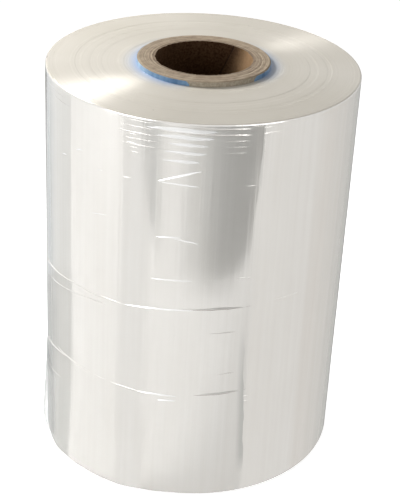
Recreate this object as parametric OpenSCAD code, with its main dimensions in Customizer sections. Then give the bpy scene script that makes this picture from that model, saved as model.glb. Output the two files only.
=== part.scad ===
// A wide roll of clear stretch film, wound on a paperboard core and stood on the core's end.
// +Z is the roll's axis, and the origin is on that axis at the foot of the core.
// Angles round the roll are counted from the front, which faces -Y, and are positive to the right.

/* [Core tube] */
// Bore of the core
bore_d = 76.2; // [50:0.1:110]
// Thickness of the paperboard wall
core_wall = 14; // [6:0.5:22]
// How far the core stands out of the film at each end
core_proud = 4.5; // [1.5:0.1:12]
// Plies that show as rings on the core's cut ends
core_plies = 5; // [3:1:9]
// Depth of the step between neighbouring plies
ply_step = 0.25; // [0.05:0.05:0.6]
// Width of the worn outer corner of the core's cut ends
core_corner = 0.8; // [0.2:0.1:1.2]

/* [Film winding] */
// Width of the film, which is the height of the winding
film_w = 325; // [260:1:520]
// Outer diameter of the winding
film_od = 246; // [180:1:340]
// Radius of the soft rim between the wall and an end face
rim_r = 1.6; // [0.6:0.1:2.6]
// Groups of turns that show as rings on the upper end face
upper_groups = 13; // [4:1:30]
// Groups of turns on the lower end face, which is plainer
lower_groups = 2; // [1:1:30]
// How far the deepest group of turns lies below an end face
turn_depth = 0.25; // [0.1:0.05:1.2]

/* [Start tape] */
// Width of the tape, most of it under the film
tape_w = 48; // [19:1:75]
// Thickness of the tape
tape_t = 0.3; // [0.1:0.05:0.8]
// Where the tape ends, left of the front
tape_gap_left = -11; // [-90:1:10]
// Where the tape starts again, right of the front
tape_gap_right = 48; // [20:1:120]

/* [Ridges under the top rim] */
// Number of fine ridges
ridge_count = 5; // [1:1:9]
// Depth of the first ridge below the end face
ridge_first = 3.2; // [2.8:0.1:12]
// Distance from one ridge to the next
ridge_pitch = 4.6; // [3:0.1:9]
// How far a ridge stands out of the wall
ridge_h = 0.4; // [0.1:0.05:0.8]
// How far round the wall the longest ridges run
ridge_span = 54; // [20:1:100]

/* [Creases] */
// How far the strongest crease stands out of the wall
crease_h = 0.9; // [0.3:0.05:1.8]
// Width of a crease for each millimetre of its height
crease_spread = 3; // [1.6:0.1:5]

/* [Free edge of the last turn] */
// Where the free edge lies, right of the front
edge_at = 21; // [-60:1:60]
// How far the free edge has lifted from the wall
edge_lift = 0.4; // [0.2:0.05:1.2]
// Length of the film that lifts towards the free edge
edge_run = 14; // [8:1:30]

/* [Loose lap] */
// Where the loose lap stands out most, left of the front
lap_at = -80; // [-130:1:-60]
// How far it stands out of the wall
lap_out = 4.5; // [1:0.1:8]
// How far round the wall it runs
lap_span = 84; // [30:1:90]
// Height above the lower end face at which it leaves the wall
lap_top = 95; // [70:1:180]
// Height at which it stands out most
lap_belly = 8; // [6:1:40]

/* [Hidden] */
$fn = 180;

front = 270;
core_r = bore_d / 2 + core_wall;
film_r = film_od / 2;
core_len = film_w + 2 * core_proud;
film_foot = core_proud;
film_top = core_proud + film_w;
face_r = film_r - rim_r;
tape_turn = 360 - (tape_gap_right - tape_gap_left);

// Straight pieces in each quarter of a rounded rim
rim_steps = 4;
// How far the cut for the tape starts inside the film's bore
cut_margin = 1;
// How far the free edge and the loose lap keep from the rim
rim_gap = 0.7;
// Points on each side of the loose lap's section
lap_steps = 6;
// Ridges that run the full span. The others below them stop at the front.
long_ridges = 2;
// Share of a ridge's or crease's height that its crest is wide
crest_flat = 0.2;
// How much further a crest runs on below the wall, so that its cut end stays hidden
run_on = 1.15;
// Height of a crease's section for each millimetre that it stands out
root = 2.6;

// Creases measured down from the upper end face. Each row gives the degrees right of the front,
// the depth, the degrees it runs, its slope in degrees and its height as a share of crease_h.
UPPER_CREASES = [
    [-6, 41.5, 15, 18, 0.8],
    [-6.5, 48, 14, -3, 0.7],
    [-9, 91.5, 9, 4, 0.5],
    [-3, 93.5, 9, -8, 0.4],
    [-7.5, 127, 15, 2, 0.5],
    [-62, 160, 34, 7, 0.7],
    [-38, 156, 34, 1, 0.9],
    [-14, 153.5, 32, 4, 1],
    [9, 150.3, 26, 1, 0.9],
    [36, 148.5, 11, 1, 0.6],
    [-56, 168, 34, 10, 0.5],
    [-37, 161.5, 10, 4, 0.5]
];
// Creases measured up from the lower end face, in rows of the same form
LOWER_CREASES = [
    [-66, 90, 28, 10, 0.8],
    [-45, 95.3, 34, 1, 0.9],
    [-22, 94.5, 30, -1, 1],
    [-1, 95, 24, 2, 0.9],
    [12, 98, 20, 4, 0.7],
    [-3, 90, 10, 3, 0.6],
    [21.5, 93, 6, 0, 0.6],
    [21.5, 88.5, 6, 0, 0.6],
    [12, 153.5, 13, 2, 0.5],
    [14, 116.5, 10, 4, 0.5]
];

// Depth of a ply's cut end below the end of the core: every second ply lies lower
function ply_depth(i) = ply_step * (i % 2);

// Radius of the joint inside ply i
function ply_edge(i) = bore_d / 2 + (core_wall - core_corner) * i / core_plies;

// Depth of a group of turns below the end face: some lie shallow and some lie deep
function group_drop(i) = turn_depth * (0.1 + 0.9 * pow(abs(sin(i * 77)), 3));

// Radius of the joint inside group i, because the groups are not all equally wide
function group_edge(i, groups) =
    i == groups ? face_r
        : core_r + (face_r - core_r) * (i + 0.3 * sin(i * 100)) / groups;

// The core's cut end, from the bore out to its outer wall
function core_end_section() = concat(
    [
        for (i = [0 : core_plies - 1])
            for (edge = [ply_edge(i), ply_edge(i + 1)])
                [edge, core_len - ply_depth(i)]
    ],
    [[core_r, core_len - core_corner]]
);

// The winding's end face and rim, from the core out to the wall
function winding_end_section(groups) = concat(
    [
        for (i = [0 : groups - 1])
            for (edge = [group_edge(i, groups), group_edge(i + 1, groups)])
                [edge, film_top - group_drop(i)]
    ],
    [
        for (step = [0 : rim_steps])
            let (a = 90 - 90 * step / rim_steps)
                [face_r + rim_r * cos(a), film_top - rim_r + rim_r * sin(a)]
    ]
);

// The same end, turned over to the foot of the roll
function turned_over(points) = [
    for (i = [len(points) - 1 : -1 : 0])
        [points[i][0], core_len - points[i][1]]
];

// A bulge whose section is the child, drawn with its crest at the origin. The crest runs on an arc
// a little tighter than the wall, so it rises from the wall and dies back into it at both ends.
module rising_arc(around, up, span, slope, height) {
    half_run = film_r * span / 2 * PI / 180;
    crest_r = 1 / (1 / film_r + 2 * height / pow(half_run, 2));
    reach = 2 * run_on * half_run / crest_r * 180 / PI;
    rotate([0, 0, front + around])
        translate([film_r + height - crest_r, 0, up])
            rotate([slope, 0, 0])
                rotate([0, 0, -reach / 2])
                    rotate_extrude(angle = reach)
                        translate([crest_r, 0])
                            children();
}

// A fold in the film, with a narrow crest and two flanks that run on into the wall
module crease(around, up, span, slope, height) {
    depth = root * height;
    half_crest = crest_flat * height / 2;
    half_root = depth * crease_spread / 2;
    rising_arc(around, up, span, slope, height)
        polygon([
            [0, half_crest],
            [0, -half_crest],
            [-depth, -half_root],
            [-depth, half_root]
        ]);
}

module ridges_under_rim()
    for (i = [0 : ridge_count - 1])
        let (share = i < long_ridges ? 1 : 0.5)
            crease(
                around = 2 * sin(i * 130) - ridge_span * (1 - share) / 2,
                up = film_top - ridge_first - i * ridge_pitch,
                span = ridge_span * share + 4 * sin(i * 95),
                slope = 0,
                height = ridge_h
            );

module creases() {
    for (row = UPPER_CREASES)
        crease(row[0], film_top - row[1], row[2], row[3], row[4] * crease_h);
    for (row = LOWER_CREASES)
        crease(row[0], film_foot + row[1], row[2], row[3], row[4] * crease_h);
}

// The last turn leaves the wall almost at a tangent and ends in a straight upright edge
module free_edge() {
    run_angle = edge_run / film_r * 180 / PI;
    under = film_r - 2 * edge_lift;
    rotate([0, 0, front + edge_at])
        translate([0, 0, film_foot + rim_r + rim_gap])
            linear_extrude(height = film_w - 2 * (rim_r + rim_gap))
                polygon([
                    [film_r + edge_lift, 0],
                    [under, 0],
                    [under * cos(run_angle), -under * sin(run_angle)]
                ]);
}

// The outermost lap hangs loose near the foot: it leaves the wall high up, bellies out and closes
// again at the lower edge
module loose_lap() {
    sunk = run_on * lap_out;
    rise = lap_top - lap_belly;
    fall = lap_belly - rim_r - rim_gap;
    above = [
        for (i = [lap_steps : -1 : 0])
            let (t = i / lap_steps)
                [-sunk * (1 - pow(1 - t, 1.6)), t * rise]
    ];
    below = [
        for (i = [1 : lap_steps])
            let (t = i / lap_steps)
                [-sunk * pow(t, 2.4), -t * fall]
    ];
    closing = [[-2 * lap_out, -fall], [-2 * lap_out, rise]];
    rising_arc(lap_at, film_foot + lap_belly, lap_span, 0, lap_out)
        polygon(concat(above, below, closing));
}

// A band as wide as the tape round the core's outside, from one radius to another
module tape_band(inner_r)
    rotate([0, 0, front + tape_gap_right])
        translate([0, 0, core_len - core_corner - tape_w])
            rotate_extrude(angle = tape_turn)
                translate([inner_r, 0])
                    square([core_r + tape_t - inner_r, tape_w]);

module core_tube()
    color("BurlyWood")
        rotate_extrude()
            polygon(concat(core_end_section(), turned_over(core_end_section())));

module core_tape()
    color("SteelBlue")
        tape_band(core_r);

module film_winding()
    color("WhiteSmoke")
        difference() {
            union() {
                rotate_extrude()
                    polygon(concat(
                        winding_end_section(upper_groups),
                        turned_over(winding_end_section(lower_groups))
                    ));
                ridges_under_rim();
                creases();
                free_edge();
                loose_lap();
            }
            tape_band(core_r - cut_margin);
        }

core_tube();
core_tape();
film_winding();
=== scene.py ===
"""A wide roll of clear stretch film on a paperboard core, standing on the core's end.

The roll's axis is Z and its front faces -Y. Angles round it are in degrees, counted from the front
and positive to the right, and heights are above the floor that it stands on.
"""
import math
import random
from functools import partial

import bmesh
import bpy
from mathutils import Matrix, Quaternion, Vector, noise


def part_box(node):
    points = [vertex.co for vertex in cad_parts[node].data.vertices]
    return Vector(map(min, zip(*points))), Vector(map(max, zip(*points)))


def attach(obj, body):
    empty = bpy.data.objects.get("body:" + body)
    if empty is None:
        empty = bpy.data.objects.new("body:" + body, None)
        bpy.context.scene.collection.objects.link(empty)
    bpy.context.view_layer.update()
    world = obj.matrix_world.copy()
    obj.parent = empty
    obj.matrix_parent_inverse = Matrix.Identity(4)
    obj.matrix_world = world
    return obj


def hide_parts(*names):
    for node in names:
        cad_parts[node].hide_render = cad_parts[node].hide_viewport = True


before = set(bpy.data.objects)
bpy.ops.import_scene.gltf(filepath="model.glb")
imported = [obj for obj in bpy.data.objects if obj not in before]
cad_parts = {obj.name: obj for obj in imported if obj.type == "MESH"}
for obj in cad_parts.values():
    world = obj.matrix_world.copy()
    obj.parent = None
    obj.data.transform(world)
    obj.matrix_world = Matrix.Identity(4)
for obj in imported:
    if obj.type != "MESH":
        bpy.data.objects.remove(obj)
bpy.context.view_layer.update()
MM = 0.001


# Core tube.
# A thick tube of brown paperboard, wound in spirals from glued plies and sawn off square, so its
# ends show the plies as rings and its bore shows the seams between the turns of the inner ply.
core_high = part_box("core_tube")[1]
CORE_LENGTH = core_high.z
CORE_RADIUS = core_high.x
BORE_RADIUS = 38.1 * MM
CORE_CORNER = 0.8 * MM
# Steps round the core, and rows of faces up its wall
CORE_STEPS = 240
CORE_ROWS = 24
PLIES = 14
PLY_DROP = 0.28 * MM
PLY_EASE = 0.05 * MM
SEAM_PITCH = 520 * MM
SEAM_WIDTH = 1.4 * MM
# Where the seam meets the floor, in degrees right of the front
SEAM_AT = 12.6
# The torn lip: how far it's torn, and how far from the lip the tears reach
LIP_TEAR = 0.5 * MM
LIP_REACH = 1.5 * MM


def linear(colour):
    """An sRGB colour such as "#a6937c" as linear red, green, blue and alpha."""
    values = [int(colour[i:i + 2], 16) / 255 for i in (1, 3, 5)]
    return [v / 12.92 if v <= 0.04045 else ((v + 0.055) / 1.055) ** 2.4 for v in values] + [1]


def add_node(tree, kind, inputs=(), stops=(), **settings):
    """Adds a node. Its inputs are a list in the node's own order or go by name or number, and each
    is a value, a colour such as "#a6937c", a socket, or a node, which stands for its first output.
    Stops are a ramp's (position, colour) from left to right. A Map Range takes its value and the
    two ends of both ranges. A Mix of colours takes them as inputs 6 and 7 and gives output 2."""
    node = tree.nodes.new(kind)
    for name, value in settings.items():
        setattr(node, name, value)
    for number, (position, colour) in enumerate(stops):
        if number > 1:
            node.color_ramp.elements.new(position)
        node.color_ramp.elements[number].position = position
        node.color_ramp.elements[number].color = linear(colour)
    for name, value in inputs.items() if isinstance(inputs, dict) else enumerate(inputs):
        if isinstance(value, bpy.types.Node):
            value = value.outputs[0]
        if isinstance(value, bpy.types.NodeSocket):
            tree.links.new(value, node.inputs[name])
        elif isinstance(value, str) and value.startswith("#"):
            node.inputs[name].default_value = linear(value)
        else:
            node.inputs[name].default_value = value
    return node


def new_material(name):
    """An empty material, and the function that adds nodes to it."""
    material = bpy.data.materials.new(name)
    material.use_nodes = True
    material.node_tree.nodes.clear()
    return material, partial(add_node, material.node_tree)


def object_place(add):
    """A point's place, which is measured from the foot of the roll's axis."""
    return add("ShaderNodeTexCoord").outputs["Object"]


def turn_of(add, place):
    """How far round the axis a place lies, from 0 to 1: 0.25 is the front and 0.5 the right."""
    parts = add("ShaderNodeSeparateXYZ", [place]).outputs
    angle = add("ShaderNodeMath", [parts["Y"], parts["X"]], operation="ARCTAN2")
    return add("ShaderNodeMath", [angle, 1 / math.tau, 0.5], operation="MULTIPLY_ADD")


def radius_of(add, place):
    """How far a place lies from the axis."""
    flat = add("ShaderNodeVectorMath", [place, (1, 1, 0)], operation="MULTIPLY")
    return add("ShaderNodeVectorMath", [flat], operation="LENGTH").outputs["Value"]


def height_of(add, place):
    """How high a place lies over the floor."""
    return add("ShaderNodeSeparateXYZ", [place]).outputs["Z"]


def cut_board_material():
    """Sawn paperboard: a dry, rough edge of torn fibres, darker in the glue lines between plies."""
    material, add = new_material("sawn_paperboard_edge")
    place = object_place(add)
    radius = radius_of(add, place)
    # Groups of plies 2 mm thick take their own tone from noise on the radius alone
    ring = add("ShaderNodeTexNoise", {"W": radius, "Scale": 420, "Detail": 2},
               noise_dimensions="1D")
    # Tufts of fibre 7 mm across and smaller, and grains of 0.6 mm
    tuft = add("ShaderNodeTexNoise", {"Vector": place, "Scale": 150, "Detail": 4, "Roughness": 0.6})
    grain = add("ShaderNodeTexNoise", {"Vector": place, "Scale": 1600, "Detail": 2})
    tone = add("ShaderNodeMath", [tuft, 0.4], operation="MULTIPLY")
    tone = add("ShaderNodeMath", [ring, 0.6, tone], operation="MULTIPLY_ADD")
    board = add("ShaderNodeValToRGB", [tone], stops=[(0.3, "#655344"), (0.68, "#b2a38d")])
    # The saw leaves the bore's lip dark and torn
    lip = add("ShaderNodeMapRange", [radius, BORE_RADIUS, BORE_RADIUS + 2.2 * MM, 0.75, 0.0])
    torn = add("ShaderNodeMath", [tuft, 2.2, -0.5], operation="MULTIPLY_ADD")
    torn = add("ShaderNodeMath", [lip, torn], operation="MULTIPLY")
    colour = add("ShaderNodeMix", {0: torn, 6: board, 7: "#5e4833"}, data_type="RGBA")
    relief = add("ShaderNodeMath", [grain, 0.5, tone], operation="MULTIPLY_ADD")
    bump = add("ShaderNodeBump", {"Height": relief, "Strength": 0.8, "Distance": 0.4 * MM})
    shader = add("ShaderNodeBsdfPrincipled", {"Base Color": colour.outputs[2], "Roughness": 0.9,
                                              "Normal": bump, "Specular IOR Level": 0.25})
    add("ShaderNodeOutputMaterial", {"Surface": shader})
    return material


def board_wall_material():
    """Liner paper: dull and slightly fibrous, brown in the bore and painted much darker there as
    painted shade, with painted light beside the seam that winds down it, and a paler grey-brown on
    the outside."""
    material, add = new_material("spiral_wound_paper_liner")
    place = object_place(add)
    spiral = add("ShaderNodeMath", [height_of(add, place), 1 / SEAM_PITCH, turn_of(add, place)],
                 operation="MULTIPLY_ADD")
    spiral = add("ShaderNodeMath", [spiral, 0.25 + SEAM_AT / 360], operation="SUBTRACT")
    across = add("ShaderNodeMath", [spiral], operation="FRACT")
    off_seam = add("ShaderNodeMath", [across, 0.5], operation="PINGPONG")
    seam = add("ShaderNodeMapRange", [off_seam, 0, SEAM_WIDTH / SEAM_PITCH, 1, 0])
    # Painted light and shade: the strip of paper is painted paler towards one edge, standing in for
    # the lit right side of the bore, and fades to painted shadow just before the next turn meets it
    painted_seam_shadow = add("ShaderNodeMapRange", [across, 0.9, 0.998, 0.6, 0.02],
                    interpolation_type="SMOOTHSTEP")
    shade = add("ShaderNodeMath", [across, 3], operation="POWER")
    shade = add("ShaderNodeMath", [shade, painted_seam_shadow], operation="MULTIPLY")
    # Fibres 1.7 mm long
    fibre = add("ShaderNodeTexNoise",
                {"Vector": place, "Scale": 600, "Detail": 3, "Roughness": 0.5})
    tone = add("ShaderNodeMath", [fibre, 0.16, shade], operation="MULTIPLY_ADD")
    # Painted shade and light: the bore's ramp runs from near black, standing in for the shade deep
    # in the bore, to pale brown, standing in for its lit side
    bore = add("ShaderNodeValToRGB", [tone], stops=[(0.05, "#2a1403"), (0.56, "#9a7c5c")])
    outside = add("ShaderNodeValToRGB", [fibre], stops=[(0.3, "#8a8172"), (0.7, "#aaa08f")])
    is_outside = add("ShaderNodeMath", [radius_of(add, place), (BORE_RADIUS + CORE_RADIUS) / 2],
                     operation="GREATER_THAN")
    colour = add("ShaderNodeMix", {0: is_outside, 6: bore, 7: outside}, data_type="RGBA")
    in_bore = add("ShaderNodeMath", [seam, is_outside], operation="SUBTRACT")
    colour = add("ShaderNodeMix", {0: in_bore, 6: colour.outputs[2], 7: "#180d05"},
                 data_type="RGBA", clamp_factor=True)
    relief = add("ShaderNodeMath", [fibre, 0.3], operation="MULTIPLY")
    relief = add("ShaderNodeMath", [relief, seam], operation="SUBTRACT")
    bump = add("ShaderNodeBump", {"Height": relief, "Strength": 0.6, "Distance": 0.4 * MM})
    shader = add("ShaderNodeBsdfPrincipled", {"Base Color": colour.outputs[2], "Roughness": 0.85,
                                              "Normal": bump, "Specular IOR Level": 0.12})
    add("ShaderNodeOutputMaterial", {"Surface": shader})
    return material


def new_geometry_tree(name, sockets):
    """A tree that takes and gives geometry, with the function that adds its nodes and its input
    sockets. The sockets besides the geometry go by kind."""
    tree = bpy.data.node_groups.new(name, "GeometryNodeTree")
    tree.is_modifier = True
    for kind, names in {"Geometry": ["Geometry"], **sockets}.items():
        for socket in names:
            tree.interface.new_socket(socket, in_out="INPUT", socket_type="NodeSocket" + kind)
    tree.interface.new_socket("Geometry", in_out="OUTPUT", socket_type="NodeSocketGeometry")
    add = partial(add_node, tree)
    return tree, add, add("NodeGroupInput").outputs


def turning_tree():
    """Turns a section round the roll's axis. The section's points hold a radius in X and a height
    in Z, and it ends where it starts. The wall may wave gently in and out."""
    tree, add, given = new_geometry_tree("turn_a_section", {
        "Int": ["Steps round"],
        "Float": ["Wave height", "Wave seed", "Still radius", "Wall radius", "End radius"],
        "Material": ["Wall material", "End material"]})
    points = add("GeometryNodeAttributeDomainSize", [given["Geometry"]])
    columns = add("FunctionNodeIntegerMath", [given["Steps round"], 1], operation="ADD")
    grid = add("GeometryNodeMeshGrid", {"Vertices X": columns, "Vertices Y": points})
    index = add("GeometryNodeInputIndex")
    step = add("FunctionNodeIntegerMath", [index, points], operation="DIVIDE_FLOOR")
    point = add("FunctionNodeIntegerMath", [index, points], operation="MODULO")
    place = add("GeometryNodeInputPosition")
    section = add("GeometryNodeSampleIndex", {"Geometry": given["Geometry"], "Value": place,
                                              "Index": point}, data_type="FLOAT_VECTOR")
    share = add("ShaderNodeMath", [step, given["Steps round"]], operation="DIVIDE")
    angle = add("ShaderNodeMath", [share, math.tau], operation="MULTIPLY")
    turned = add("ShaderNodeVectorRotate", {"Vector": section, "Angle": angle},
                 rotation_type="Z_AXIS")
    shell = add("GeometryNodeSetPosition", {"Geometry": grid, "Position": turned})
    shell = add("GeometryNodeMergeByDistance", {"Geometry": shell, "Distance": 0.005 * MM})

    radius = radius_of(add, place)
    reach = add("ShaderNodeMapRange", [radius, given["Still radius"], given["Wall radius"]])
    # Bands run level round the roll, and dents are longer up the wall than round it
    wave = -1
    for stretch in (0, 0, 28), (26, 26, 9):
        spot = add("ShaderNodeVectorMath", [place, stretch], operation="MULTIPLY")
        swell = add("ShaderNodeTexNoise", {"Vector": spot, "W": given["Wave seed"], "Scale": 1,
                                           "Detail": 1}, noise_dimensions="4D")
        wave = add("ShaderNodeMath", [wave, swell], operation="ADD")
    for factor in reach, given["Wave height"]:
        wave = add("ShaderNodeMath", [wave, factor], operation="MULTIPLY")
    outward = add("ShaderNodeVectorMath", [place, (1, 1, 0)], operation="MULTIPLY")
    outward = add("ShaderNodeVectorMath", [outward], operation="NORMALIZE")
    shift = add("ShaderNodeVectorMath", {0: outward, "Scale": wave}, operation="SCALE")
    shell = add("GeometryNodeSetPosition", {"Geometry": shell, "Offset": shift})

    # A cut end is what faces up or down and lies inside the given radius
    normal = add("GeometryNodeInputNormal")
    tilt = add("ShaderNodeSeparateXYZ", [normal]).outputs["Z"]
    tilt = add("ShaderNodeMath", [tilt], operation="ABSOLUTE")
    level = add("FunctionNodeCompare", [tilt, 0.3], operation="GREATER_THAN")
    inside = add("FunctionNodeCompare", [radius, given["End radius"]], operation="LESS_THAN")
    on_end = add("FunctionNodeBooleanMath", [level, inside], operation="AND")
    shell = add("GeometryNodeRealizeInstances", [shell])
    shell = add("GeometryNodeSetMaterial", {"Geometry": shell, "Material": given["Wall material"]})
    shell = add("GeometryNodeSetMaterial",
                {"Geometry": shell, "Selection": on_end, "Material": given["End material"]})
    add("NodeGroupOutput", [shell])
    return tree


def piece_from(name, points, edges=(), faces=()):
    """A new piece in the scene, from points in metres."""
    mesh = bpy.data.meshes.new(name)
    mesh.from_pydata([tuple(p) for p in points], list(edges), list(faces))
    piece = bpy.data.objects.new(name, mesh)
    bpy.context.scene.collection.objects.link(piece)
    return piece


def grown(piece, tree, values):
    """Runs a geometry tree on the piece and keeps the result as its own plain mesh."""
    modifier = piece.modifiers.new(tree.name, "NODES")
    modifier.node_group = tree
    for socket in tree.interface.items_tree:
        if socket.in_out == "INPUT" and socket.name in values:
            modifier[socket.identifier] = values[socket.name]
    evaluated = piece.evaluated_get(bpy.context.evaluated_depsgraph_get())
    mesh = bpy.data.meshes.new_from_object(evaluated)
    piece.modifiers.remove(modifier)
    piece.data = mesh
    return piece


def face_outward(piece, sharp=32):
    """Turns all faces outward and smooths the piece, but keeps edges of more than sharp degrees."""
    form = bmesh.new()
    form.from_mesh(piece.data)
    bmesh.ops.recalc_face_normals(form, faces=form.faces)
    form.to_mesh(piece.data)
    form.free()
    piece.data.shade_smooth()
    piece.data.set_sharp_from_angle(angle=math.radians(sharp))
    return piece


def core_section():
    """Half the core's section, as radius and height, with the plies' steps on both cut ends."""
    steps = random.Random(4)
    # Plies lie closer together towards the outside
    joints = [BORE_RADIUS + (CORE_RADIUS - CORE_CORNER - BORE_RADIUS) * (i / PLIES) ** 0.85
              for i in range(PLIES + 1)]
    upper = []
    for inner, outer in zip(joints, joints[1:]):
        depth = PLY_DROP * steps.random()
        upper += [(inner + PLY_EASE, CORE_LENGTH - depth), (outer - PLY_EASE, CORE_LENGTH - depth)]
    upper[0] = (BORE_RADIUS, upper[0][1])
    upper.append((CORE_RADIUS, CORE_LENGTH - CORE_CORNER))
    lower = [(r, CORE_LENGTH - z) for r, z in reversed(upper)]
    rows = [CORE_LENGTH * i / CORE_ROWS for i in range(1, CORE_ROWS)]
    wall = [(CORE_RADIUS, z) for z in reversed(rows)]
    bore = [(BORE_RADIUS, z) for z in rows]
    return upper + wall + lower + bore + upper[:1]


def section_piece(name, section):
    """The section as a chain of points, ready to be turned."""
    points = [(radius, 0, height) for radius, height in section]
    return piece_from(name, points, edges=[(i, i + 1) for i in range(len(points) - 1)])


turning = turning_tree()
core = grown(section_piece("core_tube_board", core_section()), turning, {
    "Steps round": CORE_STEPS, "Wave height": 0.0, "Wave seed": 0.0,
    "Still radius": 0.0, "Wall radius": 1.0, "End radius": 1.0,
    "Wall material": board_wall_material(), "End material": cut_board_material()})
# The saw tears the innermost ply, so the lip of the bore is ragged at both ends
for vertex in core.data.vertices:
    out = vertex.co.xy.length
    end = min(vertex.co.z, CORE_LENGTH - vertex.co.z)
    if out < BORE_RADIUS + LIP_REACH and end < LIP_REACH:
        fine = LIP_TEAR * noise.noise(vertex.co * 900)
        coarse = LIP_TEAR * noise.noise(vertex.co * 350 + Vector((7, 0, 0)))
        vertex.co.xy *= 1 + (fine + coarse) / out
        vertex.co.z -= math.copysign(abs(fine), vertex.co.z - CORE_LENGTH / 2)
face_outward(core)
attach(core, "root")
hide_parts("core_tube")


# Start tape.
# A thin blue band of satin polyethylene, stuck round the core to hold the first turn of film. It
# stops short of going round, so a stretch of bare board shows at the front right.
tape_low, tape_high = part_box("core_tape")
TAPE_FOOT = tape_low.z
TAPE_TOP = tape_high.z
TAPE_FROM = 48
TAPE_TO = 349
TAPE_THICK = 0.3 * MM
TAPE_GAP = 0.004 * MM
# How far its upper edge may pucker off the core
TAPE_PUCKER = 0.22 * MM
# Where the tape is painted palest, a painted highlight for its lamp-lit left side, in degrees right
# of the front
TAPE_PAINTED_HIGHLIGHT = -68.4


def around(radius, angle, height):
    """The point at this radius, angle and height."""
    turn = math.radians(angle)
    return Vector((radius * math.sin(turn), -radius * math.cos(turn), height))


def lofted(name, loops):
    """A closed piece through a row of closed loops that all have the same number of points."""
    count = len(loops[0])
    points = [point for loop in loops for point in loop]
    faces = []
    for row in range(len(loops) - 1):
        for i in range(count):
            j = (i + 1) % count
            faces.append((row * count + i, row * count + j,
                          (row + 1) * count + j, (row + 1) * count + i))
    last = (len(loops) - 1) * count
    faces.append(tuple(range(count)))
    faces.append(tuple(last + i for i in range(count)))
    return piece_from(name, points, faces=faces)


def tape_material():
    """Blue polyethylene tape: a soft satin sheen, with a painted highlight that makes it paler on
    its lamp-lit left side.
    """
    material, add = new_material("satin_polyethylene_tape")
    place = object_place(add)
    turn = turn_of(add, place)
    # Stretches of 11 mm round the core, and flecks of 4 mm
    stretch = add("ShaderNodeTexNoise", {"W": turn, "Scale": 30, "Detail": 3},
                  noise_dimensions="1D")
    fleck = add("ShaderNodeTexNoise", {"Vector": place, "Scale": 260, "Detail": 3})
    tone = add("ShaderNodeMath", [fleck, 0.3], operation="MULTIPLY")
    tone = add("ShaderNodeMath", [stretch, 0.7, tone], operation="MULTIPLY_ADD")
    # Painted highlight: the tape is painted paler about 68 degrees left of the front, standing in
    # for the lamp light on its left side
    away = add("ShaderNodeMath", [turn, 0.25 + TAPE_PAINTED_HIGHLIGHT / 360], operation="SUBTRACT")
    away = add("ShaderNodeMath", [away, 0.5], operation="PINGPONG")
    drawn = add("ShaderNodeMapRange", [away, 0.02, 0.11, 0.25, 0.0])
    shade = add("ShaderNodeMath", [tone, drawn], operation="ADD")
    colour = add("ShaderNodeValToRGB", [shade],
                 stops=[(0.35, "#41678c"), (0.68, "#7697b5"), (1.0, "#bcd2de")])
    bump = add("ShaderNodeBump", {"Height": tone, "Strength": 0.5, "Distance": 0.5 * MM})
    shader = add("ShaderNodeBsdfPrincipled",
                 {"Base Color": colour, "Roughness": 0.3, "Normal": bump, "IOR": 1.5,
                  "Coat Weight": 0.4, "Coat Roughness": 0.25})
    add("ShaderNodeOutputMaterial", {"Surface": shader})
    return material


def tape_loops():
    """Sections of the band, which puckers a little along its upper edge."""
    wave = random.Random(9)
    loops = []
    lift = 0.0
    inner = CORE_RADIUS + TAPE_GAP
    outer = CORE_RADIUS + TAPE_THICK
    for angle in range(TAPE_FROM, TAPE_TO + 1):
        lift = 0.7 * lift + 0.3 * wave.uniform(0, TAPE_PUCKER)
        # Both ends were torn off on a slant
        slant = 0.8 * MM * max(0, 3 - min(angle - TAPE_FROM, TAPE_TO - angle))
        top = TAPE_TOP - 0.5 * lift - slant
        loops.append([
            around(inner, angle, TAPE_FOOT),
            around(outer, angle, TAPE_FOOT),
            around(outer, angle, TAPE_TOP - 5 * MM),
            around(outer + 0.4 * lift, angle, top - 2 * MM),
            around(outer + lift, angle, top),
            around(inner + lift, angle, top + 0.01 * MM),
            around(inner, angle, top - 2 * MM)])
    return loops


tape = face_outward(lofted("start_tape", tape_loops()))
tape.data.materials.append(tape_material())
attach(tape, "root")
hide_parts("core_tape")


# Film winding.
# Hundreds of tight turns of clear cast polyethylene film. The turns don't end quite level, so the
# end faces show them as rings, and the wall is smooth and glossy with faint bands and dents.
film_low, film_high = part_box("film_winding")
FILM_FOOT = film_low.z
FILM_TOP = film_high.z
FILM_RADIUS = 123 * MM
FILM_STEPS = 288
WALL_ROWS = 130
RIM_RADIUS = 1.6 * MM
RIM_STEPS = 6
FACE_RADIUS = FILM_RADIUS - RIM_RADIUS
# Groups of turns on each end face, how deep a group may lie, and the single turns drawn in a group
UPPER_GROUPS = 13
LOWER_GROUPS = 4
TURN_DEPTH = 0.2 * MM
UPPER_TURNS = 4
LOWER_TURNS = 8
STEP_EASE = 0.6 * MM
FINE_DROP = 0.03 * MM
WALL_WAVE = 0.24 * MM
# Room between the film and what lies in its bore
BORE_GAP = 0.005 * MM
# Low on the left the last turns hang slack. Degrees right of the front, and how many mm they belly
# out, or have slipped down, at their lower edge
SLACK_OUT = [(-110, 0), (-84, 0.4), (-74, 1.2), (-60, 3.2), (-50, 2.0), (-40, 1.0), (-28, 0.4),
             (-14, 0)]
SLACK_DOWN = [(-120, 0), (-95, 2.8), (-80, 3.6), (-26, 3.2), (-14, 1.2), (-4, 0)]
SLACK_TOP = 95 * MM
# The middle of the stretch without tape, in degrees right of the front
BARE_MIDDLE = (TAPE_FROM + TAPE_TO - 360) / 2


def between(rows, place):
    """The value at a place in rows of (place, value), eased from one row to the next."""
    for (low, first), (high, second) in zip(rows, rows[1:]):
        if place <= high:
            share = max(0.0, (place - low) / (high - low))
            share = share * share * (3 - 2 * share)
            return first + (second - first) * share
    return rows[-1][1]


def slack(angle, height):
    """How far the film bellies out and has slipped down at this angle and height."""
    above = (height - FILM_FOOT) / SLACK_TOP
    share = min(1.0, max(0.0, 1 - above)) ** 1.6
    return between(SLACK_OUT, angle) * MM * share, between(SLACK_DOWN, angle) * MM * share


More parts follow.
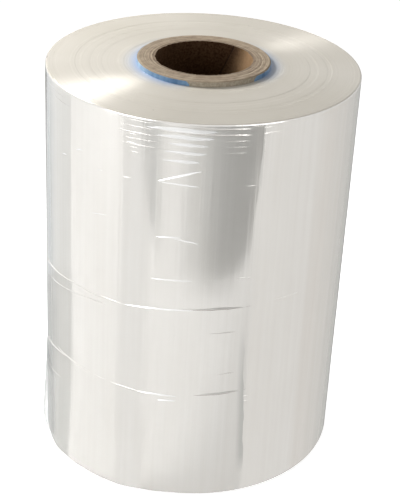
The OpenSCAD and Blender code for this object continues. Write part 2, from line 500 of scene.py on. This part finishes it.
def film_wall_material():
    """Clear film in many tight turns: light comes back from every turn, so the wall is milky white
    below and mirrors its surroundings like a pile of glass plates, far more than one sheet does."""
    material, add = new_material("cast_stretch_film_wall")
    place = object_place(add)
    # Die lines run round the roll, about 2 mm apart, and trapped air makes clouds 40 mm across
    lines = add("ShaderNodeTexNoise", {"W": height_of(add, place), "Scale": 480, "Detail": 3},
                noise_dimensions="1D")
    flat = add("ShaderNodeMapping", {"Vector": place, "Scale": (26, 26, 10)})
    cloud = add("ShaderNodeTexNoise", {"Vector": flat, "Scale": 1, "Detail": 4})
    rough = add("ShaderNodeMapRange", [cloud, 0.3, 0.7, 0.1, 0.17])
    # Air let in across the film leaves faint upright streaks, 3 mm apart
    upright = add("ShaderNodeMapping", {"Vector": place, "Scale": (300, 300, 5)})
    streak = add("ShaderNodeTexNoise", {"Vector": upright, "Scale": 1, "Detail": 2})
    milk = add("ShaderNodeMath", [cloud, 1.2, streak], operation="MULTIPLY_ADD")
    milk = add("ShaderNodeMath", [milk, 0.57, -0.13], operation="MULTIPLY_ADD")
    colour = add("ShaderNodeMix", {0: milk, 6: "#e7e3dc", 7: "#f5f3ef"}, data_type="RGBA")
    bump = add("ShaderNodeBump", {"Height": lines, "Strength": 0.35, "Distance": 0.05 * MM})
    bump = add("ShaderNodeBump",
               {"Height": streak, "Strength": 1.0, "Normal": bump, "Distance": 0.14 * MM})
    shader = add("ShaderNodeBsdfPrincipled",
                 {"Base Color": colour.outputs[2], "Metallic": 0.5, "Roughness": rough,
                  "Normal": bump, "IOR": 1.5, "Coat Weight": 0.6, "Coat Roughness": 0.05})
    add("ShaderNodeOutputMaterial", {"Surface": shader})
    return material


def film_end_material():
    """The edges of all the turns side by side: creamy and waxy, with fine circular grooves that
    draw the light into a bright fan, a blue-grey cast round the core that is partly the tape
    shining through and partly painted shade, and painted shade that dims their sheen close to the
    core."""
    material, add = new_material("stretch_film_turn_edges")
    place = object_place(add)
    radius = radius_of(add, place)
    # Rings about 1.5 mm wide, and soft patches 45 mm across
    rings = add("ShaderNodeTexNoise", {"W": radius, "Scale": 700, "Detail": 4, "Roughness": 0.7},
                noise_dimensions="1D")
    patch = add("ShaderNodeTexNoise", {"Vector": place, "Scale": 22, "Detail": 3})
    tone = add("ShaderNodeMath", [rings, patch], operation="ADD")
    tone = add("ShaderNodeMath", [tone, 0.5], operation="MULTIPLY")
    colour = add("ShaderNodeValToRGB", [tone], stops=[(0.3, "#c2bcaf"), (0.7, "#ccc6bb")])
    # Partly painted shade: the blue cast where the tape shines through is painted a dark blue-grey
    # that also stands in for the core's shadow. It reaches 15 mm out from the core, but not where
    # there is no tape
    tape_cast_and_painted_shade = add("ShaderNodeMapRange", [radius, CORE_RADIUS, CORE_RADIUS + 15 * MM, 1, 0])
    tape_cast_and_painted_shade = add("ShaderNodeMath", [tape_cast_and_painted_shade, 2], operation="POWER")
    away = add("ShaderNodeMath", [turn_of(add, place), 0.25 + BARE_MIDDLE / 360],
               operation="SUBTRACT")
    away = add("ShaderNodeMath", [away, 0.5], operation="PINGPONG")
    taped = add("ShaderNodeMapRange", [away, 0.075, 0.13])
    tape_cast_and_painted_shade = add("ShaderNodeMath", [tape_cast_and_painted_shade, taped], operation="MULTIPLY")
    colour = add("ShaderNodeMix", {0: tape_cast_and_painted_shade, 6: colour, 7: "#94a7c4"}, data_type="RGBA")
    # Grains of dust half a millimetre across, some 30 mm apart
    dust = add("ShaderNodeTexVoronoi", {"Vector": place, "Scale": 33})
    grain = add("ShaderNodeMath", [dust, 0.02], operation="LESS_THAN")
    grain = add("ShaderNodeMath", [grain, 0.5], operation="MULTIPLY")
    colour = add("ShaderNodeMix", {0: grain, 6: colour.outputs[2], 7: "#6f675c"}, data_type="RGBA")
    # Painted shade: close to the core the turns' edges are given a dimmer sheen and tint, standing
    # in for the core's shadow
    sheen_outside_painted_shade = add("ShaderNodeMapRange", [radius, CORE_RADIUS + 6 * MM, CORE_RADIUS + 26 * MM])
    metal = add("ShaderNodeMath", [sheen_outside_painted_shade, 0.2], operation="MULTIPLY")
    sheen_tint_painted_shade = add("ShaderNodeMix", {0: sheen_outside_painted_shade, 6: "#303030", 7: "#ffffff"}, data_type="RGBA")
    bump = add("ShaderNodeBump", {"Height": rings, "Strength": 0.4, "Distance": 0.03 * MM})
    grooves = add("ShaderNodeTangent", direction_type="RADIAL", axis="Z")
    shader = add("ShaderNodeBsdfPrincipled",
                 {"Base Color": colour.outputs[2], "Metallic": metal, "Roughness": 0.38,
                  "Normal": bump, "IOR": 1.5, "Anisotropic": 0.94, "Anisotropic Rotation": 0.25,
                  "Tangent": grooves, "Specular IOR Level": 0.6, "Specular Tint": sheen_tint_painted_shade.outputs[2]})
    add("ShaderNodeOutputMaterial", {"Surface": shader})
    return material


def end_section(groups, turns, seed):
    """One end face from the core to the wall, as radius and depth below the end face."""
    steps = random.Random(seed)
    points = []
    for group in range(groups):
        edges = []
        for i in (group, group + 1):
            place = i + 0.3 * math.sin(math.radians(i * 100)) if i < groups else groups
            edges.append(CORE_RADIUS + (FACE_RADIUS - CORE_RADIUS) * place / groups)
        drop = TURN_DEPTH * (0.1 + 0.9 * abs(math.sin(math.radians(group * 77))) ** 3)
        for turn in range(turns):
            inner = edges[0] + (edges[1] - edges[0]) * turn / turns
            outer = edges[0] + (edges[1] - edges[0]) * (turn + 1) / turns
            fine = drop + FINE_DROP * steps.uniform(-0.5, 0.5)
            points += [(inner + STEP_EASE, fine), (outer - STEP_EASE, fine)]
    points[0] = (CORE_RADIUS + BORE_GAP, points[0][1])
    for step in range(RIM_STEPS + 1):
        corner = math.pi / 2 * (1 - step / RIM_STEPS)
        points.append((FACE_RADIUS + RIM_RADIUS * math.cos(corner),
                       RIM_RADIUS - RIM_RADIUS * math.sin(corner)))
    return points


def film_section():
    """Half the winding's section, with a bore that steps back to make room for the tape."""
    upper = [(r, FILM_TOP - depth) for r, depth in end_section(UPPER_GROUPS, UPPER_TURNS, 5)]
    lower = [(r, FILM_FOOT + depth) for r, depth in end_section(LOWER_GROUPS, LOWER_TURNS, 6)]
    wall_top = upper[-1][1]
    wall_foot = lower[-1][1]
    wall = [(FILM_RADIUS, wall_top + (wall_foot - wall_top) * i / WALL_ROWS)
            for i in range(1, WALL_ROWS)]
    inner = CORE_RADIUS + TAPE_THICK + 0.02 * MM
    upper[0] = (inner, upper[0][1])
    bore = [(CORE_RADIUS + BORE_GAP, TAPE_FOOT - 1 * MM), (inner, TAPE_FOOT - 1 * MM)]
    return upper + wall + lower[::-1] + bore + upper[:1]


wall_film = film_wall_material()
winding = grown(section_piece("film_winding_turns", film_section()), turning, {
    "Steps round": FILM_STEPS, "Wave height": WALL_WAVE, "Wave seed": 3.0,
    "Still radius": CORE_RADIUS, "Wall radius": FILM_RADIUS,
    "End radius": FILM_RADIUS - 0.5 * MM,
    "Wall material": wall_film, "End material": film_end_material()})
for vertex in winding.data.vertices:
    out = vertex.co.xy.length
    if out > FACE_RADIUS - 1 * MM:
        angle = math.degrees(math.atan2(vertex.co.x, -vertex.co.y))
        belly, slip = slack(angle, vertex.co.z)
        vertex.co.xy *= 1 + belly / out
        vertex.co.z -= slip
face_outward(winding)
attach(winding, "root")
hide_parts("film_winding")


# Ridges and creases.
# Folds that the last turns of film took on while they were wound: fine level ridges close under
# the upper rim, and longer creases lower down. Each rises out of the wall and dies away again.
RIDGES = 5
LONG_RIDGES = 2
# In mm below the upper end face, and in degrees
RIDGE_FIRST = 3.2
RIDGE_PITCH = 4.6
RIDGE_SPAN = 54
# A row gives a fold's middle in degrees right of the front, its mm below the upper end face, the
# degrees that it runs, its slope in degrees, and how high it stands as a share of its kind's height
UPPER_CREASES = [
    (-6, 41.5, 15, 18, 0.75),
    (-6.5, 48, 14, -3, 0.6),
    (-9, 91.5, 9, 4, 0.6),
    (-3, 93.5, 9, -8, 0.45),
    (-7.5, 127, 15, 2, 0.5),
    (-62, 160, 34, 7, 0.7),
    (-38, 156, 29, 1, 0.7),
    (-11, 153.2, 27, 4, 0.65),
    (9, 150.3, 26, 1, 0.9),
    (36, 148.5, 11, 1, 0.5),
    (-56, 168, 34, 10, 0.35),
    (-37, 161.5, 10, 4, 0.6),
]
# The same, but measured up from the lower end face
LOWER_CREASES = [
    (-66, 90, 28, 10, 0.7),
    (-50.5, 95.1, 23, 1, 0.7),
    (-35, 95, 5, 1, 0.2),
    (-23, 94.5, 14, -1, 0.3),
    (-11.5, 94.4, 15, 1, 0.65),
    (12, 98, 20, 4, 0.9),
    (-7.5, 90, 7, 3, 0.6),
    (21.5, 93, 3.5, 0, 0.26),
    (21.5, 88.5, 3.5, 0, 0.26),
    (-68, 65, 20, 11, 0.35),
    (12, 153.5, 13, 2, 0.4),
    (14, 116.5, 10, 4, 0.4),
]
# Far left the ridges are faint. Single short ticks lie further down, two of them across the free
# edge of the last turn and four of them milky.
FAINT_RIDGES = [(-66, 6.5, 22, 0, 0.3), (-60, 11, 16, 0, 0.25), (-68, 16, 12, 0, 0.2)]
TICKS = [(-24.8, 49.1, 3, 9, 0.25), (18.9, 48.6, 5, -3, 0.48), (18, 124.6, 6, -3, 0.6)]
MILKY_TICKS = [(-55.3, 52, 3.6, 15, 0.4), (-46, 41, 3.8, 14, 0.4), (-36, 50, 2.8, 14, 0.25),
               (-36, 86, 7.3, 14, 0.24)]
# Between the ridges the film swells softly where it was slack
SWELLS = [(-6, 6, 24, 0, 1.0), (-5, 11.5, 20, 0, 0.9), (-4, 17, 14, 0, 0.7), (-5, 23, 15, 0, 0.7),
          (-6, 29.5, 13, 0, 0.6)]


def crease_tree():
    """Sweeps a peaked section along each line of points. The share that a point carries sets how
    high the fold stands there, and noise makes the line waver up and down."""
    tree, add, given = new_geometry_tree("fold_along_lines", {
        "Float": ["Upper flank", "Lower flank", "Fold height", "Sunk", "Waver", "Seed"],
        "Material": ["Material"]})
    place = add("GeometryNodeInputPosition")
    waver = add("ShaderNodeTexNoise", {"Vector": place, "W": given["Seed"], "Scale": 70,
                                       "Detail": 3}, noise_dimensions="4D")
    rise = add("ShaderNodeMath", [waver, 0.5], operation="SUBTRACT")
    rise = add("ShaderNodeMath", [rise, given["Waver"]], operation="MULTIPLY")
    shift = add("ShaderNodeCombineXYZ", {"Z": rise})
    lines = add("GeometryNodeSetPosition", {"Geometry": given["Geometry"], "Offset": shift})
    lines = add("GeometryNodeMeshToCurve", {"Mesh": lines})
    lines = add("GeometryNodeSetCurveNormal", {"Curve": lines}, mode="Z_UP")

    bell = add("GeometryNodeCurvePrimitiveLine")
    bell = add("GeometryNodeResampleCurve", {"Curve": bell, "Count": 13})
    along = add("GeometryNodeSplineParameter")
    across = add("ShaderNodeMath", [along, 2, -1], operation="MULTIPLY_ADD")
    crest = add("ShaderNodeMath", [across], operation="ABSOLUTE")
    crest = add("ShaderNodeMath", [1, crest], operation="SUBTRACT")
    crest = add("ShaderNodeMath", [crest, 1.8], operation="POWER")
    out = add("ShaderNodeMath", [crest, given["Fold height"]], operation="MULTIPLY")
    out = add("ShaderNodeMath", [out, given["Sunk"]], operation="SUBTRACT")
    below = add("ShaderNodeMath", [across, 0], operation="GREATER_THAN")
    flank = add("ShaderNodeMix", {0: below, 2: given["Upper flank"], 3: given["Lower flank"]})
    aside = add("ShaderNodeMath", [across, flank], operation="MULTIPLY")
    section = add("ShaderNodeCombineXYZ", {"X": out, "Y": aside})
    bell = add("GeometryNodeSetPosition", {"Geometry": bell, "Position": section})
    bell = add("GeometryNodeSetSplineCyclic", {"Geometry": bell, "Cyclic": True})
    share = add("GeometryNodeInputNamedAttribute", {"Name": "share"}, data_type="FLOAT")
    folds = add("GeometryNodeCurveToMesh",
                {"Curve": lines, "Profile Curve": bell, "Scale": share, "Fill Caps": True})
    folds = add("GeometryNodeRealizeInstances", [folds])
    folds = add("GeometryNodeSetMaterial", {"Geometry": folds, "Material": given["Material"]})
    add("NodeGroupOutput", [folds])
    return tree


def fold_lines(name, folds):
    """The lines that folds follow on the wall. Each fold is (angle, height, span, slope, share)."""
    points = []
    edges = []
    shares = []
    for angle, height, span, slope, share in folds:
        steps = max(12, int(span * 1.6))
        for i in range(steps + 1):
            turn = span * (i / steps - 0.5)
            climb = FILM_RADIUS * math.radians(turn) * math.tan(math.radians(slope))
            if i:
                edges.append((len(points) - 1, len(points)))
            belly, slip = slack(angle + turn, height + climb)
            points.append(around(FILM_RADIUS + belly, angle + turn, height + climb - slip))
            shares.append(max(0.03, share * (1 - (2 * i / steps - 1) ** 2) ** 0.8))
    piece = piece_from(name, points, edges=edges)
    piece.data.attributes.new("share", "FLOAT", "POINT").data.foreach_set("value", shares)
    return piece


def tinted_film(name, colour, share_in):
    """The wall's film, partly tinted. The function share_in adds the nodes that say how much."""
    material = wall_film.copy()
    material.name = name
    tree = material.node_tree
    add = partial(add_node, tree)
    shader = next(n for n in tree.nodes if n.type == "BSDF_PRINCIPLED")
    plain = shader.inputs["Base Color"].links[0].from_socket
    mixed = add("ShaderNodeMix", {0: share_in(add), 6: plain, 7: colour}, data_type="RGBA")
    tree.links.new(mixed.outputs[2], shader.inputs["Base Color"])
    return material


def painted_fold_shade(add):
    """Film in a fold: the same film, with painted shade that tints it brown-grey on the side that
    faces down.
    """
    facing = add("ShaderNodeNewGeometry").outputs["Normal"]
    up = add("ShaderNodeSeparateXYZ", [facing]).outputs["Z"]
    return add("ShaderNodeMapRange", [up, -0.35, -0.1, 1, 0])


def milky_film_material():
    """Film that was drawn so hard that it turned milky: whiter and duller than the rest."""
    material, add = new_material("stress_whitened_stretch_film")
    # Clouds 8 mm across
    cloud = add("ShaderNodeTexNoise", {"Vector": object_place(add), "Scale": 120, "Detail": 3})
    colour = add("ShaderNodeMix", {0: cloud, 6: "#f2f2ef", 7: "#ffffff"}, data_type="RGBA")
    shader = add("ShaderNodeBsdfPrincipled",
                 {"Base Color": colour.outputs[2], "Metallic": 0.65, "Roughness": 0.25, "IOR": 1.5,
                  "Coat Weight": 0.6, "Coat Roughness": 0.1})
    add("ShaderNodeOutputMaterial", {"Surface": shader})
    return material


def ridge_rows():
    """The two upper ridges run full length. The others stop at the front and start again, more
    faintly, at the right. A row of short ticks stands at their left ends."""
    rows = []
    for i in range(RIDGES):
        depth = RIDGE_FIRST + i * RIDGE_PITCH
        length = 1 if i < LONG_RIDGES else 0.5
        middle = 2 * math.sin(math.radians(i * 130)) - RIDGE_SPAN * (1 - length) / 2
        span = RIDGE_SPAN * length + 4 * math.sin(math.radians(i * 95))
        rows.append((middle, depth, span, 0, 0.25))
        if i < LONG_RIDGES:
            rows.append((11, depth + 0.6, 28, 0, 0.32))
        else:
            rows.append((15, depth + 0.4, 16, 0, 0.3 - 0.05 * i))
        rows.append((-23 + math.sin(5 * i), 14 + 3.4 * i, 3.2, 0, 0.16))
    return rows


def below_rim(rows):
    """Rows with their depth below the upper end face turned into a height."""
    return [(angle, FILM_TOP - depth * MM, *rest) for angle, depth, *rest in rows]


folding = crease_tree()
# The folds' film carries painted shade on their downward flanks
fold_film_painted_shade = tinted_film("stretch_film_fold_painted_shade", "#80776b", painted_fold_shade)
milky_film = milky_film_material()
creases = below_rim(UPPER_CREASES)
creases += [(angle, FILM_FOOT + height * MM, *rest) for angle, height, *rest in LOWER_CREASES]
sharp = [row for row in creases if abs(row[0]) > 20]
# At the front the folds lie over and show only their bright upper flank
laid_over = [row for row in creases if -20 <= row[0] < 5] + below_rim(MILKY_TICKS)
# The creases that end at the free edge were pulled almost flat again
soft = [row for row in creases if 5 <= row[0] <= 20]
# Each kind's rows and film, then in mm its flanks above and below the crest, how far it stands out,
# how deep its foot lies in the wall and how far it wavers, and last the seed of that
FOLD_KINDS = {
    "rim_ridges": (below_rim(ridge_rows() + FAINT_RIDGES + TICKS), fold_film_painted_shade,
                   2.2, 1.6, 0.4, 0.1, 1.2, 2.0),
    "rim_swells": (below_rim(SWELLS), milky_film, 3.6, 2.4, 0.38, 0.12, 3.0, 4.0),
    "wall_creases": (sharp, fold_film_painted_shade, 1.5, 1.0, 0.9, 0.12, 1.6, 7.0),
    "front_creases": (laid_over, milky_film, 2.3, 0.5, 0.85, 0.1, 1.6, 7.0),
    "soft_creases": (soft, fold_film_painted_shade, 3.0, 1.1, 0.4, 0.08, 1.6, 7.0),
}
for name, (rows, film, upper, lower, out, sunk, waver, seed) in FOLD_KINDS.items():
    folds = grown(fold_lines(name, rows), folding, {
        "Upper flank": upper * MM, "Lower flank": lower * MM, "Fold height": (out + sunk) * MM,
        "Sunk": sunk * MM, "Waver": waver * MM, "Seed": seed, "Material": film})
    face_outward(folds, sharp=80)
    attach(folds, "root")


# Free end of the last turn.
# The last turn of film ends in an upright cut edge that clings to the turn below by itself. Its
# edge has lifted by a few tenths of a millimetre and wanders a little from the plumb line.
# Height in mm, and degrees right of the front
EDGE_ANGLES = [(4.5, 23.0), (30, 22.6), (75, 21.6), (125, 20.2), (165, 19.6), (205, 19.4),
               (240, 19.9), (280, 20.8), (325, 21.6)]
EDGE_RUN = 9
EDGE_LIFT = 0.2 * MM
EDGE_GAP = 0.7 * MM
EDGE_SUNK = 0.06 * MM
EDGE_STEPS = 8
EDGE_ROWS = 140


def edge_strip_painted_shade(add):
    """The last turn of film, with painted shade: grey in a strip 3 degrees wide along the lower
    half of its cut edge, standing in for the shade beside the lifted edge."""
    place = object_place(add)
    height = height_of(add, place)
    # Here the edge follows a line that turns left by 18 degrees for each metre of height
    angle = add("ShaderNodeMath", [turn_of(add, place), 360, -90], operation="MULTIPLY_ADD")
    edge = add("ShaderNodeMath", [height, -18, 23.4], operation="MULTIPLY_ADD")
    behind = add("ShaderNodeMath", [edge, angle], operation="SUBTRACT")
    share = add("ShaderNodeMapRange", [behind, 1.4, 3.4, 1, 0])
    low = add("ShaderNodeMapRange", [height, 22 * MM, 40 * MM])
    high = add("ShaderNodeMapRange", [height, 110 * MM, 165 * MM, 1, 0])
    for factor in low, high, 0.7:
        share = add("ShaderNodeMath", [share, factor], operation="MULTIPLY")
    return share


def free_end_loops():
    """Level sections of the lifted end, from the foot to the rim. It starts flush with the wall."""
    low = FILM_FOOT + RIM_RADIUS + EDGE_GAP
    high = FILM_TOP - RIM_RADIUS - EDGE_GAP
    loops = []
    for row in range(EDGE_ROWS + 1):
        height = low + (high - low) * row / EDGE_ROWS
        waver = 0.12 * math.sin(height * 190) + 0.08 * math.sin(height * 410 + 1)
        edge = between(EDGE_ANGLES, height / MM) + waver
        lift = EDGE_LIFT * (1 + 0.25 * math.sin(height * 60))
        loop = []
        for i in range(EDGE_STEPS + 1):
            share = i / EDGE_STEPS
            radius = FILM_RADIUS - EDGE_SUNK + (lift + EDGE_SUNK) * share ** 1.2
            loop.append(around(radius, edge - EDGE_RUN * (1 - share), height))
        loop.append(around(FILM_RADIUS - 0.3 * MM, edge, height))
        loop.append(around(FILM_RADIUS - 0.4 * MM, edge - EDGE_RUN, height))
        loops.append(loop)
    return loops


free_end = face_outward(lofted("free_film_end", free_end_loops()), sharp=50)
free_end.data.materials.append(tinted_film("stretch_film_lifted_edge_painted_shade", "#c6c7c2", edge_strip_painted_shade))
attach(free_end, "root")


# Loose lap.
# Low on the left, the outermost turn hangs off the wall as a single see-through layer. It leaves
# the wall high up, bellies out and closes again at the lower edge.
LAP_AT = -80
LAP_SPAN = 60
LAP_OUT = 4.5 * MM
LAP_TOP = 95 * MM
LAP_BELLY = 8 * MM
LAP_THICK = 0.15 * MM
LAP_SUNK = 0.25 * MM
LAP_RIPPLE = 0.12 * MM
LAP_COLUMNS = 60
LAP_ROWS = 40


def lap_material():
    """One clear layer of film with air behind it: see-through, with a bright mirror sheen."""
    material, add = new_material("single_layer_of_stretch_film")
    # Haze in patches of 17 mm
    haze = add("ShaderNodeTexNoise", {"Vector": object_place(add), "Scale": 60, "Detail": 3})
    white = add("ShaderNodeMix", {0: haze, 6: "#eeeeec", 7: "#ffffff"}, data_type="RGBA")
    sheen = add("ShaderNodeBsdfGlossy", {"Color": white.outputs[2], "Roughness": 0.12})
    clear = add("ShaderNodeBsdfTransparent", {"Color": "#fafafa"})
    edge_on = add("ShaderNodeFresnel", {"IOR": 1.5})
    share = add("ShaderNodeMath", [edge_on, 0.9, 0.04], operation="MULTIPLY_ADD")
    # Light is only mirrored where it meets the layer from outside
    inside = add("ShaderNodeNewGeometry").outputs["Backfacing"]
    outside = add("ShaderNodeMath", [1, inside], operation="SUBTRACT")
    share = add("ShaderNodeMath", [share, outside], operation="MULTIPLY")
    film = add("ShaderNodeMixShader", [share, clear, sheen])
    add("ShaderNodeOutputMaterial", {"Surface": film})
    return material


def lap_loops():
    """Upright sections of the lap, from its left end to its right end, each with two sides."""
    loops = []
    for column in range(LAP_COLUMNS + 1):
        turn = LAP_SPAN * (column / LAP_COLUMNS - 0.5)
        angle = LAP_AT + turn
        reach = LAP_OUT * (1 - (2 * column / LAP_COLUMNS - 1) ** 2)
        outer = []
        for row in range(LAP_ROWS + 1):
            height = RIM_RADIUS + EDGE_GAP + (LAP_TOP - RIM_RADIUS) * row / LAP_ROWS
            if height > LAP_BELLY:
                share = (height - LAP_BELLY) / (LAP_TOP - LAP_BELLY)
                fall = 1 - max(0.0, 1 - share) ** 1.6
            else:
                fall = (1 - height / LAP_BELLY) ** 2.4
            ripple = LAP_RIPPLE * math.sin(height * 300 + turn * 0.2) * reach / LAP_OUT
            slip = slack(angle, FILM_FOOT + height)[1]
            outer.append((FILM_RADIUS - LAP_SUNK + reach * (1 - fall) + ripple,
                          FILM_FOOT + height - slip))
        loops.append([around(r, angle, z) for r, z in outer]
                     + [around(r - LAP_THICK, angle, z) for r, z in reversed(outer)])
    return loops


lap = face_outward(lofted("loose_lap", lap_loops()), sharp=60)
lap.data.materials.append(lap_material())
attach(lap, "root")


# Studio.
# A white floor, soft lamps and low cards round the roll. The cards glow in their own colours as
# painted
# reflections: they are only seen in reflections, as the flags of a product photographer are, and
# give the glossy wall its upright bands.
FLOOR_HALF = 8
STRIP_TURN = 2.11
BAND_REACH = 3.0
# The upright line on the wall where each band starts and ends, and the band's colour
BANDS = [
    (-104, -76, "#c4c4c2"),
    (-76, -65, "#ccd1d4"),
    (-65, -51, "#e2e4e4"),
    (-27, -16, "#f6f6f6"),
    (22, 46, "#f8f7f6"),
    (46, 54, "#eeebe8"),
    (54, 62, "#e4e2df"),
    (62, 69, "#d6d5d2"),
    (69, 76, "#c6c6c3"),
    (76, 80, "#a2a2a0"),
    (80, 104, "#626260"),
]
# On the left the bands are duller towards the foot, as painted shade near the roll's foot. Each row
# ends with how far its card reaches over the floor, and its height in mm
NEAR_BANDS = [
    (-90, -62, "#bcbfbf", 0.31, 1.2),
    (-62, -50, "#d2d4d3", 0.31, 1.2),
    (-90, -62, "#d8dada", 0.11, 1.4),
    (-62, -50, "#d2d5d4", 0.11, 1.4),
]
# The dark shape that hangs down from the rim at the front, with its lower corners rounded, as
# metres on the floor, and its colours as (degrees right of the front, colour)
WINDOW = [(-0.094, -0.477), (-0.143, -0.475), (-0.197, -0.480), (-0.226, -0.491),
          (-0.334, -0.531), (-0.474, -0.645), (-0.592, -0.715), (-4.5, -4.7), (0.5, -6.5),
          (5.6, -5.9), (0.610, -0.660), (0.439, -0.545), (0.340, -0.473), (0.303, -0.449),
          (0.258, -0.440), (0.190, -0.443), (0.106, -0.461), (0.0, -0.480)]
WINDOW_SHADES = [(-40, "#bcbebe"), (-28, "#bcbebe"), (-25, "#dcdedd"), (-22, "#ffffff"),
                 (-12, "#ffffff"), (-7, "#e1e1e0"), (0, "#cececc"), (8, "#a6a7a5"),
                 (14, "#7c7d7b"), (20, "#6e6f6d"), (32, "#6b6c6a"), (40, "#838381")]


def floor_material():
    """White paper that keeps the roll's soft shadow and is lit from below for the camera."""
    material, add = new_material("white_floor_paper")
    rays = add("ShaderNodeLightPath").outputs
    paper = add("ShaderNodeBsdfDiffuse", {"Color": "#cccccc"})
    seen = add("ShaderNodeMath", [rays["Is Camera Ray"], rays["Is Transmission Ray"]],
               operation="MAXIMUM")
    seen = add("ShaderNodeMath", [seen, 0.85], operation="MULTIPLY")
    # Painted shade: for mirrored rays the paper glows dimmer close to the roll, standing in for the
    # roll's soft contact shadow seen in the wall
    radius = radius_of(add, object_place(add))
    glossy_glow_painted_shade = add("ShaderNodeMapRange", [radius, 0.13, 0.9, 0.37, 0.74])
    strength = add("ShaderNodeMath", [rays["Is Glossy Ray"], glossy_glow_painted_shade, seen],
                   operation="MULTIPLY_ADD")
    glow = add("ShaderNodeEmission", {"Color": "#ffffff", "Strength": strength})
    both = add("ShaderNodeAddShader", [paper, glow])
    add("ShaderNodeOutputMaterial", {"Surface": both})
    return material


def card(name, corners, stops, height):
    """A flat card low over the floor that only shows in reflections. Its stops are rows of (angle
    round the roll, colour), and its colour changes evenly from one to the next."""
    piece = piece_from(name, [(*corner, height) for corner in corners],
                       faces=[tuple(range(len(corners)))])
    material, add = new_material(name + "_paper")
    away = add("ShaderNodeMath", [turn_of(add, object_place(add)), 0.25], operation="ADD")
    away = add("ShaderNodeMath", [away], operation="FRACT")
    colour = add("ShaderNodeValToRGB", [away],
                 stops=[(0.5 + angle / 360, shade) for angle, shade in stops])
    # The card glows in its own colour: a painted reflection for the wall to mirror
    glow = add("ShaderNodeEmission", {"Color": colour})
    add("ShaderNodeOutputMaterial", {"Surface": glow})
    piece.data.materials.append(material)
    for ray in "camera", "diffuse", "shadow", "transmission", "volume_scatter":
        setattr(piece, "visible_" + ray, False)


def band(name, left, right, colour, reach, height):
    """A card of one colour that the wall mirrors between two upright lines. Its corners are the
    floor points that these lines mirror next to the roll and this far from it."""
    corners = [around(FILM_RADIUS, angle, 0) + around(far, angle * STRIP_TURN, 0)
               for angle, far in ((left, 0), (left, reach), (right, reach), (right, 0))]
    card(name, [corner.xy for corner in corners], [(-90, colour), (90, colour)], height)


def lamp(name, angle, elevation, distance, size, power, aim):
    """A square soft box, turned towards the roll's axis at the height aim."""
    light = bpy.data.lights.new(name, "AREA")
    light.shape = "SQUARE"
    light.size = size
    light.energy = power
    box = bpy.data.objects.new(name, light)
    bpy.context.scene.collection.objects.link(box)
    rise = math.radians(elevation)
    offset = around(distance * math.cos(rise), angle, distance * math.sin(rise))
    box.location = Vector((0, 0, aim)) + offset
    box.rotation_mode = "QUATERNION"
    box.rotation_quaternion = (-offset).to_track_quat("-Z", "Y")
    box.visible_camera = False


floor = piece_from("floor", [(-FLOOR_HALF, -FLOOR_HALF, 0), (FLOOR_HALF, -FLOOR_HALF, 0),
                             (FLOOR_HALF, FLOOR_HALF, 0), (-FLOOR_HALF, FLOOR_HALF, 0)],
                   faces=[(0, 1, 2, 3)])
floor.data.materials.append(floor_material())
for number, (left, right, colour) in enumerate(BANDS):
    band(f"band_card_{number}", left, right, colour, BAND_REACH, 1.0 * MM)
for number, (left, right, colour, reach, height) in enumerate(NEAR_BANDS):
    band(f"near_card_{number}", left, right, colour, reach, height * MM)
card("window_card", WINDOW, WINDOW_SHADES, 1.5 * MM)
lamp("front_left_box", -50, 17, 1.6, 0.9, 11.7, CORE_LENGTH / 2)
lamp("back_left_box", -122, 38, 0.6, 0.2, 4.6, FILM_TOP)
lamp("right_box", 42, 15, 2.2, 1.2, 12.0, CORE_LENGTH / 2)

# The room is white where the camera, a mirror or clear film shows it, and gives a dim fill light
world = bpy.data.worlds.new("studio_room")
bpy.context.scene.world = world
world.use_nodes = True
world.node_tree.nodes.clear()
add = partial(add_node, world.node_tree)
rays = add("ShaderNodeLightPath").outputs
seen = rays["Is Camera Ray"]
for kind in "Is Glossy Ray", "Is Transmission Ray":
    seen = add("ShaderNodeMath", [seen, rays[kind]], operation="MAXIMUM")
strength = add("ShaderNodeMath", [seen, 0.75, 0.25], operation="MULTIPLY_ADD")
sky = add("ShaderNodeBackground", {"Color": "#ffffff", "Strength": strength})
add("ShaderNodeOutputWorld", {"Surface": sky})


# Camera.
# It looks down at the roll from 28 degrees, close enough for the wall to taper, and is tipped so
# that the roll leans a little to the right.
CAMERA_PLACE = Vector((0, -0.986, 0.6933))
CAMERA_AIM = Vector((0.0046, 0, 0.164))
CAMERA_TIP = 2.979
camera_data = bpy.data.cameras.new("camera")
camera_data.lens = 96.2
camera_data.sensor_width = 36
camera = bpy.data.objects.new("camera", camera_data)
bpy.context.scene.collection.objects.link(camera)
camera.location = CAMERA_PLACE
camera.rotation_mode = "QUATERNION"
level = (CAMERA_AIM - CAMERA_PLACE).to_track_quat("-Z", "Y")
camera.rotation_quaternion = level @ Quaternion((0, 0, 1), math.radians(CAMERA_TIP))
bpy.context.scene.camera = camera
bpy.context.scene.view_settings.view_transform = "Standard"
